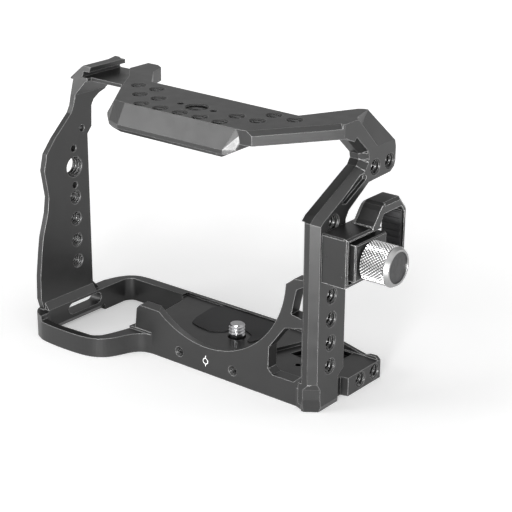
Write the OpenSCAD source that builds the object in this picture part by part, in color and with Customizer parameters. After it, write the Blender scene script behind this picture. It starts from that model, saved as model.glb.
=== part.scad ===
// Camera cage: a one-piece machined frame with a captive camera screw, a rubber
// pad and a sliding plug clamp on the outer face of its right post.
// X runs across the cage, Y from the lens side to the back, Z up.
// The origin lies on the camera screw axis at the underside of the base.

/* [Overall] */
// Height of the cage from the underside to the top face
cage_h = 106.5; // [106:0.5:109]
// Lens axis to the inner face of the left side plate
left_in = 75; // [74.8:0.1:75.6]
// Thickness of the left side plate
plate_t = 4; // [3.7:0.1:4.2]
// Thickness added outside the left plate along its row of holes
row_t = 1.6; // [1.4:0.1:1.8]
// Lens axis to the outer face of the right post
right_out = 53.7; // [53.4:0.1:54.4]
// Width of the right post and arm, measured across the cage
post_w = 7.2; // [7:0.1:7.6]
// Screw axis to the front of the right post
post_front = 22; // [21.7:0.1:22.5]

/* [Base] */
// Height of the deck below the camera
deck_h = 9; // [8.8:0.1:9.4]
// Height of the lip along the back of the deck
lip_h = 10; // [9.8:0.1:10.4]
// Height of the lower floor and the rail at the right end
low_h = 7.5; // [7.2:0.1:7.9]
// Screw axis to the front face of the base
front_y = 19; // [18.8:0.1:19.4]
// Screw axis to the rear edge of the base
back_y = 20.8; // [20.4:0.1:21.4]
// Thickness of the front wall that carries the lens arc
wall_t = 5; // [4.6:0.1:5.4]
// Thickness of the rear lip
rear_lip = 1.5; // [1.2:0.1:2]
// Radius of the lens arc in the front wall
lens_r = 38.1; // [37.6:0.1:38.6]
// Height of the lens axis
lens_z = 49.1; // [48.9:0.1:49.8]
// Widening of the lens arc from the front to the back of the wall
lens_flare = 2; // [1.6:0.1:2.4]
// Depth of the triangular pockets in the lower floor
pocket_deep = 2; // [1:0.1:3]

/* [Grip loop] */
// Screw axis to the front of the grip loop
loop_front = 38; // [37.5:0.1:38.8]
// Thickness of the front wall of the loop
loop_wall = 3; // [2.6:0.1:3.4]
// Thickness of the back wall of the loop
loop_back = 4.5; // [4:0.1:5]
// Height of the front wall of the loop
loop_h = 8; // [7.6:0.1:8.6]
// Middle of the strap slot, measured forward from the screw axis
strap_y = 10.5; // [9:0.1:12]
// Length of the strap slot
strap_len = 19; // [16:0.1:20]
// Height of the strap slot opening
strap_h = 4.8; // [4.3:0.1:5]

/* [Cold shoe] */
// Middle of the cold shoe to the inner face of the left side plate
shoe_in = 11.3; // [11:0.1:11.6]
// Inner width of the shoe below its lips
shoe_w = 18.6; // [18.2:0.1:19]
// Gap between the two lips
shoe_gap = 12.4; // [12.2:0.1:12.8]
// Height of the slot below the lips
shoe_slot = 2.2; // [2:0.1:2.4]
// Thickness of the lips
shoe_lip = 1.9; // [1.6:0.1:2.2]
// Thickness of the shoe floor
shoe_floor = 1.4; // [1.3:0.1:1.7]

/* [Top plate] */
// Thickness of the top plate and its arm
top_t = 5.3; // [5:0.1:5.8]
// Screw axis to the front edge of the sloped hood
hood_front = 38.8; // [38.4:0.1:39.4]
// Height of the hood below the top face
hood_drop = 10.3; // [10:0.1:10.8]
// Thickness of the hood at the front
hood_t = 4.4; // [4:0.1:5]

/* [Hole rows] */
// Spacing of the accessory holes
pitch = 9.2; // [9:0.1:9.3]
// Wall radius of the small accessory holes
hole_r = 2.65; // [2.5:0.05:2.8]
// Wall radius of the large accessory holes
big_r = 4.1; // [3.9:0.05:4.3]
// Distance of a locating hole from the large hole beside it
pin_off = 7.7; // [7.4:0.1:7.8]
// Radius of the locating holes
pin_r = 1.3; // [1.1:0.05:1.4]
// Chamfer at the mouth of every hole
rim = 0.5; // [0.3:0.05:0.6]
// Radius of the two small holes in the front face
front_r = 1.25; // [1.1:0.05:1.5]
// Depth of the two small holes in the front face
front_deep = 7; // [5:0.5:9]
// Distance of each small front hole from the lens axis
front_x = 13.4; // [12.5:0.1:14.5]

/* [Camera screw] */
// Radius of the plain shank below the camera thread
shank_r = 2.6; // [2.4:0.05:2.8]
// Radius of the camera thread
thread_r = 3.175; // [3.1:0.025:3.2]
// Length of the thread above the deck
thread_up = 5.6; // [4.8:0.1:6.2]
// Radius of the screw head
head_r = 7.1; // [6.8:0.1:7.2]
// Height of the screw head
head_t = 2; // [1.8:0.1:2.2]
// Thickness of the deck web that the screw passes through
web_t = 2.4; // [2.2:0.1:2.6]
// Thickness of the friction washer on the screw
washer_t = 0.6; // [0.5:0.05:0.7]
// Thickness of the retaining ring in the screw pocket
ring_t = 0.8; // [0.7:0.05:0.9]
// Width of the retaining ring
ring_w = 1.7; // [1.5:0.1:1.9]
// Thickness of the rubber pad on the deck
pad_t = 1; // [0.8:0.05:1.2]
// Depth of the recess that holds the pad
pad_sink = 0.6; // [0.5:0.05:0.7]

/* [Clamp] */
// Height of the middle of the clamp block above the underside
clamp_z = 61; // [60.6:0.1:61.4]
// Height of the clamp block
block_h = 18.2; // [18:0.1:18.6]
// Thickness of the clamp block across the cage
block_t = 10.8; // [10.6:0.1:11.2]
// Screw axis forward to the front face of the clamp block
block_front = 19.3; // [19.1:0.1:19.8]
// Start of the plug window behind the screw axis
window_y = 2; // [1.9:0.1:2.3]
// Length of the plug window
window_len = 13.8; // [13.6:0.1:14.4]
// Thickness of the rear wall of the hook
hook_wall = 2; // [1.8:0.1:2.4]
// Height of the hook above the clamp block
hook_up = 7.4; // [7.2:0.1:7.8]
// Thickness of the bar over the plug window
hook_bar = 3.7; // [3.3:0.1:4]
// Width of the hook across the cage
hook_w = 9.6; // [9.4:0.1:9.9]
// Wall left round the jaw pocket
pocket_wall = 1.2; // [1:0.05:1.3]
// Depth of the jaw pocket
pocket_d = 2.8; // [2.7:0.05:2.9]
// Thickness of the jaw plate
jaw_t = 4.75; // [4.5:0.05:5]
// Length of the jaw plate
jaw_len = 18.5; // [18:0.1:18.7]
// Gap above, below and in front of the jaw plate
jaw_gap = 1.1; // [1:0.05:1.2]
// Thickness of the rubber linings that hold the plug
lining_t = 1.2; // [1:0.05:1.4]
// Width of the guide rib on the jaw plate
rib_w = 5.9; // [5.7:0.1:6.1]
// Length of the slot nut
nut_len = 7; // [6.6:0.1:7.2]
// Width of the slot nut
nut_w = 9; // [8.8:0.1:9.2]
// Thickness of the slot nut
nut_t = 2.6; // [2.5:0.05:2.65]
// Radius of the clamp screw thread
fix_r = 3.1; // [3:0.05:3.2]
// Radius of the countersunk head of the clamp screw
fix_head_r = 5.6; // [5.4:0.1:5.9]
// Height of the countersunk head of the clamp screw
fix_head_h = 2.6; // [2.4:0.1:2.8]
// Radius of the locating pin behind the clamp
dowel_r = 1.2; // [1:0.05:1.3]
// Depth of the locating pin in the post and in the block
dowel_in = 3; // [2.5:0.1:3.4]

/* [Knob] */
// Screw axis forward to the knob axis
knob_y = 8.1; // [7.9:0.1:8.3]
// Drop of the knob axis below the middle of the clamp block
knob_drop = 0.9; // [0.7:0.1:1]
// Radius of the knob
knob_r = 7.4; // [7.2:0.1:7.6]
// Length of the knob
knob_len = 11.8; // [11.4:0.1:12.4]
// Width of the bevel at the outer rim of the knob
knob_bevel = 1.6; // [1.2:0.1:2]
// Radius of the threaded stud
stud_r = 2; // [1.9:0.05:2.1]
// Depth of the stud in the knob
stud_in = 7; // [6:0.5:8]
// Radius of the washer below the knob
knob_washer_r = 4.4; // [4:0.1:4.8]
// Thickness of the washer below the knob
knob_washer_t = 0.8; // [0.7:0.05:1]
// Radius of the cap in the end of the knob
cap_r = 5.7; // [5.4:0.1:5.8]
// Thickness of the cap
cap_t = 0.8; // [0.6:0.05:1]
// Depth of the cap below the end of the knob
cap_sink = 0.5; // [0.3:0.05:0.7]

/* [Clearances] */
// Gap between faces that slide or turn on each other
run_gap = 0.05; // [0.03:0.01:0.08]
// Radial gap where a pin turns or slides in a hole
fit_gap = 0.06; // [0.03:0.01:0.09]
// Gap between round faces that do not touch
free_gap = 0.35; // [0.3:0.01:0.4]

/* [Hidden] */
// Overshoot of a cut beyond the face it opens
cut = 0.2;
// Corner radii of the pad and of the grip opening
pad_round = 1.2;
loop_round = 3.2;
// Facets of holes, of small round parts and of large arcs
hole_fn = 24;
part_fn = 48;
arc_fn = 120;
// Main planes
left_out = left_in + plate_t;
post_in = right_out - post_w;
top_z = cage_h - top_t;
slot_z = cage_h - shoe_lip - shoe_slot;
shoe_x = left_in - shoe_in;
shoe_z = slot_z - shoe_floor;
shoe_back = 14.6;
shoe_front = 5.6;
post_back = 4.1;
// Front corner of the loop opening at the left wall
loop_left = left_in - 2.1;
// Middle line of the holes in the post and in the left plate
post_hole_y = -12.4;
left_hole_y = -11.6;
left_big_z = 65.9;
left_low_z = left_big_z - 4.4 * pitch;
post_low_z = 16.9;
post_top_z = cage_h - 34.4;
rail_hole_y = 7.5;
rail_hole_z = 3.9;
arm_hole_y = 12.3;
arm_hole_z = cage_h - 20.1;
front_hole_z = 5.1;
front_lip = 0.8;
// Rows of holes in the top plate
row_back = -13.6;
row_mid = row_back - pitch;
row_front = row_mid - pitch;
// Camera screw stack, from the deck downwards
web_z = deck_h - web_t;
washer_z = web_z - run_gap - washer_t;
head_z = washer_z - run_gap - head_t;
ring_z = 0.5;
pocket_r = head_r + free_gap;
thread_hole_r = thread_r + free_gap;
driver_slot = 1.6;
driver_deep = 1.1;
// Clamp planes
block_out = right_out + block_t;
block_low = clamp_z - block_h / 2;
block_top = clamp_z + block_h / 2;
hook_top = block_top + hook_up;
hook_back = window_y + window_len + hook_wall;
pocket_x = block_out - pocket_d;
pocket_low = block_low + pocket_wall;
pocket_top = block_top - pocket_wall;
pocket_front = -block_front + pocket_wall;
jaw_x = pocket_x + run_gap;
jaw_out = jaw_x + jaw_t;
jaw_front = pocket_front + jaw_gap;
jaw_low = pocket_low + jaw_gap;
jaw_high = pocket_top - jaw_gap;
neck_t = 1.8;
channel_x = pocket_x - neck_t - nut_t - 3 * run_gap;
nut_x = channel_x + run_gap;
channel_front = -knob_y - nut_len / 2 - 1;
rib_front = jaw_front + 2;
rib_back = jaw_front + jaw_len - 2;
rib_deep = neck_t - 4 * run_gap;
neck_front = rib_front - run_gap * 6;
stud_x = channel_x + 2 * run_gap;
washer_x = jaw_out + run_gap;
knob_x = jaw_out + 3 * run_gap;
knob_recess = washer_x + knob_washer_t + run_gap - knob_x;
knob_z = clamp_z - knob_drop;
knob_out = knob_x + knob_len;
fix_z = post_low_z + 5 * pitch;
fix_end = channel_x - 3 * run_gap;
dowel_z = block_low + 2.8;
// Thread of the camera screw starts just above the deck
thread_z = deck_h + 0.2;
thread_tip = 0.8;
// Direction of the front edge of the arm in plan, and its bevel
arm_turn = atan2(23.8, right_out - 2.3 - 34.6);
arm_bevel = 1.7;
// Slanted facet behind the arm
facet_z = cage_h - 12.6;
facet_w = 4.9;

// Cuts the corners of a path twice, which turns its kinks into a smooth curve
function soften(path, turns = 2) = turns == 0 ? path : soften(
    concat(
        [path[0]],
        [
            for (i = [0 : len(path) - 2])
                each [0.75 * path[i] + 0.25 * path[i + 1], 0.25 * path[i] + 0.75 * path[i + 1]]
        ],
        [path[len(path) - 1]]
    ), turns - 1
);

// Outline of the base and the grip loop, seen from above
loop_curve = [
    [-left_out, -29.5], [-left_out + 0.7, -32.2], [-left_out + 2.9, -34.9],
    [-left_out + 5.9, -36.4], [-70, -loop_front + 0.4],
    [-61, -loop_front - 0.1], [-50.7, -loop_front + 0.3], [-44.3, -loop_front + 1.5],
    [-39.5, -loop_front + 4.5], [-37, -29.1], [-34.8, -23.2], [-31.9, -20],
    [-27.7, -front_y]
];
heel_curve = [
    [-64, back_y], [-70.2, 20.3], [-74.4, 17.7], [-left_out + 1.9, 13.4], [-left_out, 7]
];
floor_outline = concat(
    soften(loop_curve),
    [
        [post_in - 3, -front_y], [post_in, -20],
        [post_in + 1.7, -post_front], [right_out, -post_front], [right_out, -post_back - 3],
        [right_out - 3, -post_back + 0.8], [right_out - 3, -1.2], [right_out, -0.4],
        [right_out, back_y]
    ],
    soften(heel_curve)
);
// Opening of the grip loop, seen from above
grip_opening = [
    [-loop_left, -31], [-70.5, -loop_front + loop_wall + 0.8],
    [-61.5, -loop_front + loop_wall], [-45.8, -loop_front + loop_wall + 1],
    [-43, -31.5], [-41, -26], [-39.5, -20], [-38.7, -12], [-38.7, 1.6],
    [-40.2, 14.3], [-42.8, back_y - loop_back], [-70.8, back_y - loop_back],
    [-loop_left, 13.6]
];
// Part of the base cut down to the deck, and the lower part at the right
deck_area = [
    [-42.5, -30], [right_out - 3, -30], [right_out - 3, back_y - rear_lip],
    [-42.5, back_y - rear_lip]
];
low_area = [
    [17, -30], [18.6, 0.9], [22.7, 12.2], [22.9, back_y - rear_lip],
    [right_out - 3, back_y - rear_lip], [right_out - 3, -30]
];
// Part of the loop wall cut down to its lower front height
loop_area = [
    [-71.5, -50], [-71.5, -28], [-39.5, -19.4], [-34, -19.2],
    [-27.7, -front_y - 0.05], [-27.7, -50]
];
pocket_front_area = [[23.9, 3.3], [25.4, 8.8], [30.4, 2.2]];
pocket_back_area = [[36.9, 18.4], [42.6, 18.4], [42.6, 11.4]];
// Front wall with the lens arc and the gusset to the post, seen from the front
wall_outline = [
    [-37, 5], [-35.6, 17.5], [-34, 19.2], [0, 19.2], [39.8, 48.4],
    [41.6, 49.9], [post_in + 1, 50.4], [post_in + 1, 5]
];
gusset_window = [
    [30.3, 11.1], [32.5, 9.3], [42.2, 9.4], [post_in - 0.9, 12.5],
    [post_in - 0.9, 31.6], [37.8, 29.7], [30.6, 20.1]
];
gusset_slot = [
    [40.6, 35.9], [post_in - 0.7, 35.2], [post_in - 0.7, 47.7], [42.8, 45.9]
];
// Left side plate, seen from the side
plate_front = [
    [-31.4, 3], [-31.8, 10.5], [-33, 15], [-32.7, 0.23 * cage_h], [-31.4, 0.32 * cage_h],
    [-30.2, 0.385 * cage_h], [-27.2, 0.47 * cage_h], [-26.2, 0.532 * cage_h],
    [-27.2, 0.592 * cage_h], [-28, 0.638 * cage_h], [-26.4, cage_h - 32.1],
    [-21.9, cage_h - 26.9], [-16.4, cage_h - 21.9], [-12.4, cage_h - 18.3],
    [-10.8, cage_h - 15.5], [-9.7, cage_h - 11.1], [-7.9, cage_h - 5],
    [-shoe_front - 0.3, cage_h - 0.3]
];
plate_back = [
    [shoe_back - 0.5, cage_h - 0.3], [shoe_back - 0.5, shoe_z + 0.6],
    [8.9, shoe_z - 4.6], [7.2, shoe_z - 6.4], [3.8, shoe_z - 7.4], [0.5, shoe_z - 9.4],
    [-0.8, shoe_z - 11.6], [-1.2, cage_h - 25.8], [-3.6, cage_h - 28.5],
    [-3.6, lip_h + 4], [1, lip_h - 1], [1, 3]
];
// Thicker strip outside the left plate, seen from the side
row_outline = [
    [left_hole_y - 6.4, left_low_z - 5], [left_hole_y - 6.4, left_big_z + 8],
    [left_hole_y - 3.6, left_big_z + 11.4], [left_hole_y + 4, left_big_z + 11.4],
    [left_hole_y + 6.4, left_big_z + 8], [left_hole_y + 6.4, left_low_z - 5],
    [left_hole_y + 4, left_low_z - 7.4], [left_hole_y - 4, left_low_z - 7.4]
];
// Cold shoe, seen from the front
shoe_section = [
    [-left_out, shoe_z], [-left_out, cage_h],
    [-shoe_x - shoe_gap / 2, cage_h], [-shoe_x - shoe_gap / 2, cage_h - shoe_lip],
    [-shoe_x - shoe_w / 2, cage_h - shoe_lip], [-shoe_x - shoe_w / 2, slot_z],
    [-53.5, slot_z], [-53.5, shoe_z]
];
// Top plate with its horn and arm, seen from above
top_outline = [
    [-36.4, -6.8], [34.6, -8.5], [45.5, 12.4], [47.2, 13.5], [49, 13.8],
    [right_out, 13.8], [right_out, -7.3], [right_out - 2.3, -10.8], [34.6, -34.6],
    [31, -35.1], [-23.6, -35.1], [-29.8, -33.9], [-41.3, -17.9], [-48.3, -6.7],
    [-shoe_x + shoe_gap / 2, 3.6], [-shoe_x + shoe_gap / 2, shoe_back - 0.3],
    [-52.2, shoe_back - 0.3], [-48.6, 12], [-46.3, 5]
];
hood_top = [
    [-43, -15], [-41.3, -17.9], [-29.8, -33.9], [-23.6, -35.1], [28, -35.1],
    [31.6, -33.2], [33.6, -15]
];
hood_low = [
    [-45, -15], [-42, -23.2], [-38.1, -29.5], [-30.6, -hood_front + 2.4],
    [-24.1, -hood_front], [25, -hood_front], [28.6, -hood_front + 2.6],
    [31.6, -31.5], [34, -15]
];
hood_foot = [
    [-43.8, -15], [-40.9, -22.8], [-37.2, -28.6], [-30, -hood_front + 3.6],
    [-23.8, -hood_front + 1.2], [24.7, -hood_front + 1.2], [28, -hood_front + 3.6],
    [30.8, -30.9], [33, -15]
];
hood_hollow = [
    [-50, -13], [-50, -19], [-40, -21], [-34, -27], [-28, -hood_front + hood_t + 1.6],
    [-22.5, -hood_front + hood_t], [23.5, -hood_front + hood_t],
    [26.6, -hood_front + hood_t + 1.6], [28.6, -29.4], [40, -27], [40, -13]
];
// Right post and arm, seen from the side, front edges first
arm_front = [
    [-post_front, 12], [-post_front, cage_h - 33.1], [-19.6, cage_h - 31],
    [4.8, cage_h - 18.6], [6.4, cage_h - 16.4], [6, cage_h - 14.2], [-1, cage_h - 7.8],
    [-5.5, cage_h - 5.8], [-7, top_z + 1]
];
arm_back = [
    [-7, cage_h - 0.3], [13.8, cage_h - 0.3], [24.6, cage_h - 12.9], [25.2, cage_h - 15.2],
    [25.2, cage_h - 20.6], [24.5, cage_h - 22.6], [22.1, cage_h - 24.2],
    [8.4, cage_h - 24.8], [6.2, cage_h - 26.2], [-3.5, cage_h - 32.1],
    [-post_back - 1.2, cage_h - 35], [-post_back - 1.2, block_low + 6],
    [-post_back, block_low + 4], [-post_back, 13.4], [-post_back - 3, 11.5],
    [-post_back - 3, 3], [-post_front, 3]
];
arm_groove = [
    [-7.7, cage_h - 28.9], [-5.2, cage_h - 29.3], [6.6, cage_h - 23.3],
    [6.9, cage_h - 22.1], [5.2, cage_h - 20.7], [3.6, cage_h - 21.1],
    [-7.4, cage_h - 27.1]
];
// Waste at the vertical corner of the post foot, seen from above
foot_corner = [
    [post_in + 1.9, -post_front - cut], [right_out + cut, -post_front + 4],
    [right_out + 1, -post_front + 4], [right_out + 1, -post_front - 1]
];
// Plug of waste behind the slanted facet, seen from the side
facet_side = [
    [-0.1, cage_h + 1], [14.1, facet_z - 0.7], [30, facet_z - 0.7], [30, cage_h + 1]
];
// Rubber pad on the deck, seen from above
pad_outline = [
    [-21.9, -1.6], [-17.3, -3.1], [-10.9, -3.6], [-6.6, -0.6], [-4.4, 3.6],
    [-0.3, 5.8], [4.4, 3.8], [6.3, -1.5], [8.1, -2.1], [9.3, 2.5], [9, 8.1],
    [6.6, 14], [3.8, back_y - rear_lip - 0.4], [-22.7, back_y - rear_lip - 0.4],
    [-25.3, 14.5], [-23.7, 3.2]
];
// Hook of the clamp, seen from the side
hook_outline = [
    [-3.8, block_low + 2], [-3.8, block_top + 0.4], [-2.4, block_top + 1.8],
    [0.2, hook_top - 2.2], [1.6, hook_top - 0.8], [3.4, hook_top],
    [hook_back - 4.7, hook_top], [hook_back, hook_top - 5.2],
    [hook_back, block_low], [0, block_low]
];
hook_window = [
    [window_y, pocket_low], [window_y, block_top - 1.3], [window_y - 1.7, block_top - 0.3],
    [window_y + 0.5, hook_top - hook_bar],
    [window_y + window_len - 2, hook_top - hook_bar],
    [window_y + window_len, hook_top - hook_bar - 2.4],
    [window_y + window_len, pocket_low]
];

// Extrusions of a flat outline along one axis, from a start plane
module along_x(start, len) {
    translate([start, 0, 0])
        rotate([90, 0, 90])
            linear_extrude(len)
                children();
}

module along_y(start, len) {
    translate([0, start + len, 0])
        rotate([90, 0, 0])
            linear_extrude(len)
                children();
}

module along_z(start, len) {
    translate([0, 0, start])
        linear_extrude(len)
            children();
}

// Places children with their own Z axis along X or along Y
module to_x(x, y, z) {
    translate([x, y, z])
        rotate([0, 90, 0])
            children();
}

module to_y(x, y, z) {
    translate([x, y, z])
        rotate([-90, 0, 0])
            children();
}

// Hole with a chamfer at its mouth, and at its far end where it goes through
module bore(r, deep, lip = rim, through = true) {
    start = through ? -cut : 0;
    translate([0, 0, start])
        cylinder(r = r, h = deep + cut - start, $fn = hole_fn);
    if (through)
        translate([0, 0, -cut])
            cylinder(r1 = r + lip + cut, r2 = r, h = lip + cut, $fn = hole_fn);
    translate([0, 0, deep - lip])
        cylinder(r1 = r, r2 = r + lip + cut, h = lip + cut, $fn = hole_fn);
}

// Cuts a bevel along one edge of a side profile; material lies to the right
module edge_bevel(p, q, face, side, depth, width) {
    run = norm(q - p);
    turn = atan2(q[1] - p[1], q[0] - p[0]);
    translate([0, p[0], p[1]])
        rotate([turn - 90, 0, 0])
            translate([0, 0, -cut])
                linear_extrude(run + 2 * cut)
                    polygon([
                        [face + side * cut, -cut],
                        [face - side * depth * (1 + cut / width), -cut],
                        [face + side * cut, width * (1 + cut / depth)]
                    ]);
}

module edge_bevels(points, face, side, depth, width) {
    for (i = [0 : len(points) - 2])
        edge_bevel(points[i], points[i + 1], face, side, depth, width);
}

module base_body() {
    difference() {
        along_z(0, lip_h)
            polygon(floor_outline);
        along_z(-cut, lip_h + 2 * cut)
            offset(r = loop_round, $fn = part_fn)
                offset(delta = -loop_round)
                    polygon(grip_opening);
        along_z(deck_h, lip_h)
            polygon(deck_area);
        along_z(low_h, lip_h)
            polygon(low_area);
        along_z(loop_h, lip_h)
            polygon(loop_area);
        along_z(low_h, lip_h)
            translate([right_out - 3.2, -1.2])
                square([4, back_y - rear_lip + 1.2]);
        along_y(back_y - rear_lip - cut, rear_lip + 2 * cut)
            polygon([
                [36.7, lip_h], [47.1, low_h + 0.3], [49.2, low_h + 1.1],
                [52.2, low_h + 1.2], [right_out + 1, low_h - 1],
                [right_out + 1, lip_h + 1], [36.7, lip_h + 1]
            ]);
        along_z(low_h - pocket_deep, lip_h)
            polygon(pocket_front_area);
        along_z(low_h - pocket_deep, lip_h)
            polygon(pocket_back_area);
        along_z(deck_h - pad_sink, lip_h)
            pad_shape(run_gap);
    }
}

// Outline of the pad with rounded corners, grown by a gap
module pad_shape(gap = 0) {
    offset(r = pad_round + gap, $fn = hole_fn)
        offset(delta = -pad_round)
            polygon(pad_outline);
}

module front_wall() {
    difference() {
        along_y(-front_y, wall_t)
            polygon(wall_outline);
        to_y(0, -front_y - 1, lens_z)
            cylinder(
                r1 = lens_r - lens_flare / wall_t, h = wall_t + 2,
                r2 = lens_r + lens_flare + lens_flare / wall_t, $fn = arc_fn
            );
        along_y(-front_y - cut, wall_t + 2 * cut)
            polygon(gusset_window);
        along_y(-front_y - cut, wall_t + 2 * cut)
            polygon(gusset_slot);
    }
}

module left_plate() {
    difference() {
        union() {
            along_x(-left_out, plate_t)
                polygon(concat(plate_front, plate_back));
            // Thicker strip along the row of holes, with sloping edges
            hull() {
                along_x(-left_out, 1)
                    polygon(row_outline);
                along_x(-left_out - row_t, 1)
                    offset(delta = -1)
                        polygon(row_outline);
            }
            along_y(-31, 31 - 3.6)
                polygon([
                    [-left_in - 1, 5], [-loop_left, 5], [-loop_left, lip_h],
                    [-left_in, lip_h + 3], [-left_in - 1, lip_h + 3]
                ]);
        }
        edge_bevels(plate_front, -left_out, -1, 1.5, 1.8);
    }
}

module cold_shoe() {
    difference() {
        along_y(-shoe_front, shoe_front + shoe_back)
            polygon(shoe_section);
        along_z(slot_z + cut, shoe_lip + shoe_slot)
            polygon([
                [-shoe_x - shoe_gap / 2 + cut, 12], [-shoe_x - shoe_gap / 2 - 4, shoe_back + cut],
                [-shoe_x - shoe_gap / 2 - 4, shoe_back + 1],
                [-shoe_x - shoe_gap / 2 + cut, shoe_back + 1]
            ]);
    }
    // Left wall and lip of the shoe, flush with the front edge of the plate
    intersection() {
        along_y(-14, 28)
            polygon(shoe_section);
        along_x(-left_out, left_out - shoe_x - shoe_gap / 2)
            polygon(concat(plate_front, plate_back));
    }
    // Gusset between the plate and the underside of the shoe
    intersection() {
        along_y(-14, 30)
            polygon([
                [-left_in - 1, shoe_z - 7.2], [-left_in, shoe_z - 5.8],
                [-left_in + 4.4, shoe_z + 0.2], [-left_in - 1, shoe_z + 0.2]
            ]);
        along_x(-left_in - 2, 8)
            polygon(concat(plate_front, plate_back));
    }
}

module top_plate() {
    difference() {
        union() {
            along_z(top_z, top_t)
                polygon(top_outline);
            difference() {
                hull() {
                    along_z(cage_h - cut, cut)
                        polygon(hood_top);
                    along_z(cage_h - hood_drop + 1.4, 1.5)
                        polygon(hood_low);
                    along_z(cage_h - hood_drop, cut)
                        polygon(hood_foot);
                }
                along_z(top_z - 9, 9)
                    polygon(hood_hollow);
                along_y(-50, 60)
                    polygon([
                        [22, cage_h - hood_drop - 1], [33.8, top_z + 0.3], [45, top_z + 0.3],
                        [45, cage_h - hood_drop - 1]
                    ]);
            }
        }
        along_y(-30, 60)
            polygon([
                [-shoe_x, slot_z], [-shoe_x + shoe_w / 2, slot_z],
                [-shoe_x + shoe_w / 2, cage_h - shoe_lip], [-shoe_x, cage_h - shoe_lip]
            ]);
    }
}

module post_and_arm() {
    difference() {
        along_x(post_in, post_w)
            polygon(concat(arm_front, arm_back));
        edge_bevels([for (i = [0 : 6]) arm_front[i]], right_out, 1, 3.2, 1.9);
        edge_bevels([for (i = [0 : 1]) arm_front[i]], post_in, -1, 1.7, 2);
        along_x(right_out - 1.6, 2)
            polygon(arm_groove);
    }
}

// Waste above the left shoulder of the shoe, up to the stop at its rear end
module shoulder_bevel() {
    hull() {
        along_y(-14, 22.8)
            polygon([
                [-left_out - cut, cage_h - 5.1], [-left_out - cut, cage_h + cut],
                [-left_out + 5, cage_h + cut]
            ]);
        along_y(shoe_back - 0.2, 1)
            polygon([
                [-left_out - cut, cage_h - 3.1], [-left_out - cut, cage_h + cut],
                [-left_out + 3, cage_h + cut]
            ]);
    }
}

// Waste above the slanted facet behind the arm
module arm_facet() {
    slope = facet_w / (cage_h - facet_z);
    intersection() {
        along_y(-1, 32)
            polygon([
                [right_out + cut, facet_z - cut / slope], [right_out + cut, cage_h + 2],
                [right_out - facet_w - 2 * slope, cage_h + 2]
            ]);
        along_x(right_out - 8, 9)
            polygon(facet_side);
        along_z(facet_z - 2, 17)
            polygon([
                [right_out + 1, -0.5], [right_out - 2.2, 3], [right_out - facet_w, 13.8],
                [right_out - facet_w - 1, 30], [right_out + 1, 30]
            ]);
    }
}

// Waste round the faceted foot of the post
module foot_facets() {
    hull() {
        along_z(13.4, cut)
            polygon([
                [right_out - 1.4, -post_front - cut], [right_out + cut, -post_front + 1],
                [right_out + 1, -post_front - 1]
            ]);
        along_z(5.2, 4.2)
            polygon(foot_corner);
    }
    hull() {
        along_z(5.2, cut)
            polygon(foot_corner);
        along_z(-1, 1)
            polygon([
                [post_in + 0.3, -post_front - cut], [right_out + cut, -post_front + 5],
                [right_out + 1, -post_front + 5], [right_out + 1, -post_front - 1]
            ]);
    }
    along_x(post_in - 3, post_w + 4)
        polygon([
            [-post_front - 1, 8.7], [-post_front + 1.1, -cut], [-post_front - 1, -cut]
        ]);
}

// Hole rows of the whole frame
module top_holes() {
    for (s = [-1, 1]) {
        for (i = [3, 4])
            translate([s * i * pitch, row_back, top_z])
                bore(hole_r, top_t);
        for (i = [2, 3])
            translate([s * i * pitch, row_mid, top_z])
                bore(hole_r, top_t);
        translate([s * pin_off, row_mid, top_z])
            bore(pin_r, top_t, rim / 2);
    }
    for (i = [-2 : 2])
        translate([i * pitch, row_front, top_z])
            bore(hole_r, top_t);
    translate([0, row_mid, top_z])
        bore(big_r, top_t);
}

module side_holes() {
    for (i = [0 : 3]) {
        to_x(-left_out - row_t, left_hole_y, left_low_z + i * pitch)
            bore(hole_r, plate_t + row_t, rim / 2);
        to_x(post_in, post_hole_y, post_low_z + i * pitch)
            bore(hole_r, post_w);
    }
    to_x(post_in, post_hole_y, post_top_z)
        bore(hole_r, post_w);
    to_x(-left_out - row_t, left_hole_y, left_big_z)
        bore(big_r, plate_t + row_t, rim / 2);
    for (s = [-1, 1])
        to_x(-left_out - row_t, left_hole_y, left_big_z + s * pin_off)
            bore(pin_r, plate_t + row_t, rim / 2);
    to_x(-left_out, -6.6, cage_h - 25.5)
        bore(pin_r, plate_t, rim / 2);
    for (i = [0, 1]) {
        to_x(post_in, arm_hole_y + i * pitch, arm_hole_z)
            bore(hole_r, post_w);
        to_x(right_out - 9, rail_hole_y + i * pitch, rail_hole_z)
            bore(hole_r, 9, rim, false);
    }
}

// Countersunk hole for the clamp screw and hole for the locating pin
module fixing_holes() {
    to_x(post_in - cut, post_hole_y, fix_z)
        cylinder(r = fix_r, h = post_w + 2 * cut, $fn = hole_fn);
    to_x(post_in, post_hole_y, fix_z)
        screw_cone();
    to_x(right_out - dowel_in, post_hole_y, dowel_z)
        cylinder(r = dowel_r, h = dowel_in + cut, $fn = hole_fn);
}

// Cone below a countersunk head, extended past its face
module screw_cone(over = cut) {
    slope = (fix_head_r - fix_r) / fix_head_h;
    translate([0, 0, -over])
        cylinder(r1 = fix_head_r + over * slope, r2 = fix_r, h = fix_head_h + over, $fn = hole_fn);
}

module screw_pocket() {
    translate([0, 0, -cut])
        cylinder(r = pocket_r, h = web_z + cut, $fn = part_fn);
    translate([0, 0, ring_z - run_gap])
        cylinder(r = pocket_r + 0.6, h = ring_t + 2 * run_gap, $fn = part_fn);
    translate([0, 0, web_z])
        bore(thread_hole_r, web_t, 0.3);
}

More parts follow.
